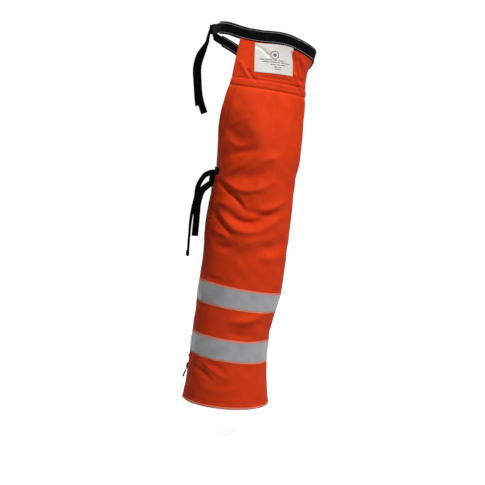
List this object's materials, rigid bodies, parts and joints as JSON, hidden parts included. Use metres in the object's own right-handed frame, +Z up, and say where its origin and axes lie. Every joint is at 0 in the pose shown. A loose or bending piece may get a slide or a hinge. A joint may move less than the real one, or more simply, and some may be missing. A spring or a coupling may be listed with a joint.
{
  "type": "chainsaw chaps",
  "caption": "Wrap-round padded leg protectors on a tie waistband, with thigh ties, rear calf zips and reflective tapes, shown as worn.",
  "frame": {"origin": "centre of the waist opening, midway between the band's front and back", "axes": "+X towards the wearer's front, -Y the wearer's right, +Z up"},
  "size_m": [0.3611, 0.384, 1.0208],
  "materials": {
    "shell_fabric": "woven coated nylon, matt",
    "waistband_fabric": "woven, matt",
    "webbing": "woven webbing, matt",
    "saw_pad": "loose fibre felt",
    "lining": "plain woven lining",
    "reflective_tape": "glass-bead reflective, satin",
    "label_cloth": "printed satin ribbon, blank",
    "zip_tape": "knitted tape",
    "zip_teeth": "moulded acetal",
    "zip_metal": "black enamel"
  },
  "bodies": {
    "waist": {"waistband": "waistband_fabric", "belt_webbing_right": "webbing", "belt_webbing_left": "webbing", "waist_knot": "webbing", "waist_tail_long": "webbing", "waist_tail_short": "webbing", "right_apron": "shell_fabric", "left_apron": "shell_fabric", "label": "label_cloth"},
    "right_thigh": {"right_thigh_shell": "shell_fabric", "right_thigh_pad": "saw_pad", "right_thigh_lining": "lining", "right_knee_shell": "shell_fabric", "right_knee_pad": "saw_pad", "right_knee_lining": "lining", "right_tie_strap_outer": "webbing", "right_tie_strap_inner": "webbing", "right_tie_knot": "webbing", "right_tie_tail_long": "webbing", "right_tie_tail_short": "webbing"},
    "right_shin": {"right_shin_shell": "shell_fabric", "right_shin_pad": "saw_pad", "right_shin_lining": "lining", "right_upper_reflective_tape": "reflective_tape", "right_lower_reflective_tape": "reflective_tape", "right_zip_tape_outer": "zip_tape", "right_zip_tape_inner": "zip_tape", "right_zip_teeth_outer": "zip_teeth", "right_zip_teeth_inner": "zip_teeth", "right_zip_top_stop": "zip_metal"},
    "right_slider": {"right_zip_slider": "zip_metal"},
    "right_pull": {"right_zip_pull": "zip_metal"},
    "left_thigh": {"left_thigh_shell": "shell_fabric", "left_thigh_pad": "saw_pad", "left_thigh_lining": "lining", "left_knee_shell": "shell_fabric", "left_knee_pad": "saw_pad", "left_knee_lining": "lining", "left_tie_strap_outer": "webbing", "left_tie_strap_inner": "webbing", "left_tie_knot": "webbing", "left_tie_tail_long": "webbing", "left_tie_tail_short": "webbing"},
    "left_shin": {"left_shin_shell": "shell_fabric", "left_shin_pad": "saw_pad", "left_shin_lining": "lining", "left_upper_reflective_tape": "reflective_tape", "left_lower_reflective_tape": "reflective_tape", "left_zip_tape_outer": "zip_tape", "left_zip_tape_inner": "zip_tape", "left_zip_teeth_outer": "zip_teeth", "left_zip_teeth_inner": "zip_teeth", "left_zip_top_stop": "zip_metal"},
    "left_slider": {"left_zip_slider": "zip_metal"},
    "left_pull": {"left_zip_pull": "zip_metal"}
  },
  "joints": [
    {"name": "right_hip", "type": "hinge", "parent": "waist", "child": "right_thigh", "pos_m": [-0.042, -0.106, -0.125], "axis": [0, -1, 0], "range_deg": [-15, 30], "deforming": ["right_apron", "label"]},
    {"name": "right_knee", "type": "hinge", "parent": "right_thigh", "child": "right_shin", "pos_m": [-0.046, -0.103, -0.518], "axis": [0, 1, 0], "range_deg": [0, 45], "deforming": ["right_knee_shell", "right_knee_pad", "right_knee_lining", "right_tie_tail_long", "right_tie_tail_short"]},
    {"name": "right_zip", "type": "slide", "parent": "right_shin", "child": "right_slider", "axis": [0.1392, 0, 0.9903], "range_m": [0, 0.29]},
    {"name": "right_zip_pull_swing", "type": "hinge", "parent": "right_slider", "child": "right_pull", "pos_m": [-0.20641, -0.106, -0.87973], "axis": [0, 1, 0], "range_deg": [-8, 110]},
    {"name": "left_hip", "type": "hinge", "parent": "waist", "child": "left_thigh", "pos_m": [-0.042, 0.106, -0.125], "axis": [0, -1, 0], "range_deg": [-15, 30], "deforming": ["left_apron"]},
    {"name": "left_knee", "type": "hinge", "parent": "left_thigh", "child": "left_shin", "pos_m": [-0.046, 0.103, -0.518], "axis": [0, 1, 0], "range_deg": [0, 45], "deforming": ["left_knee_shell", "left_knee_pad", "left_knee_lining", "left_tie_tail_long", "left_tie_tail_short"]},
    {"name": "left_zip", "type": "slide", "parent": "left_shin", "child": "left_slider", "axis": [0.1392, 0, 0.9903], "range_m": [0, 0.29]},
    {"name": "left_zip_pull_swing", "type": "hinge", "parent": "left_slider", "child": "left_pull", "pos_m": [-0.20641, 0.106, -0.87973], "axis": [0, 1, 0], "range_deg": [-8, 110]}
  ]
}
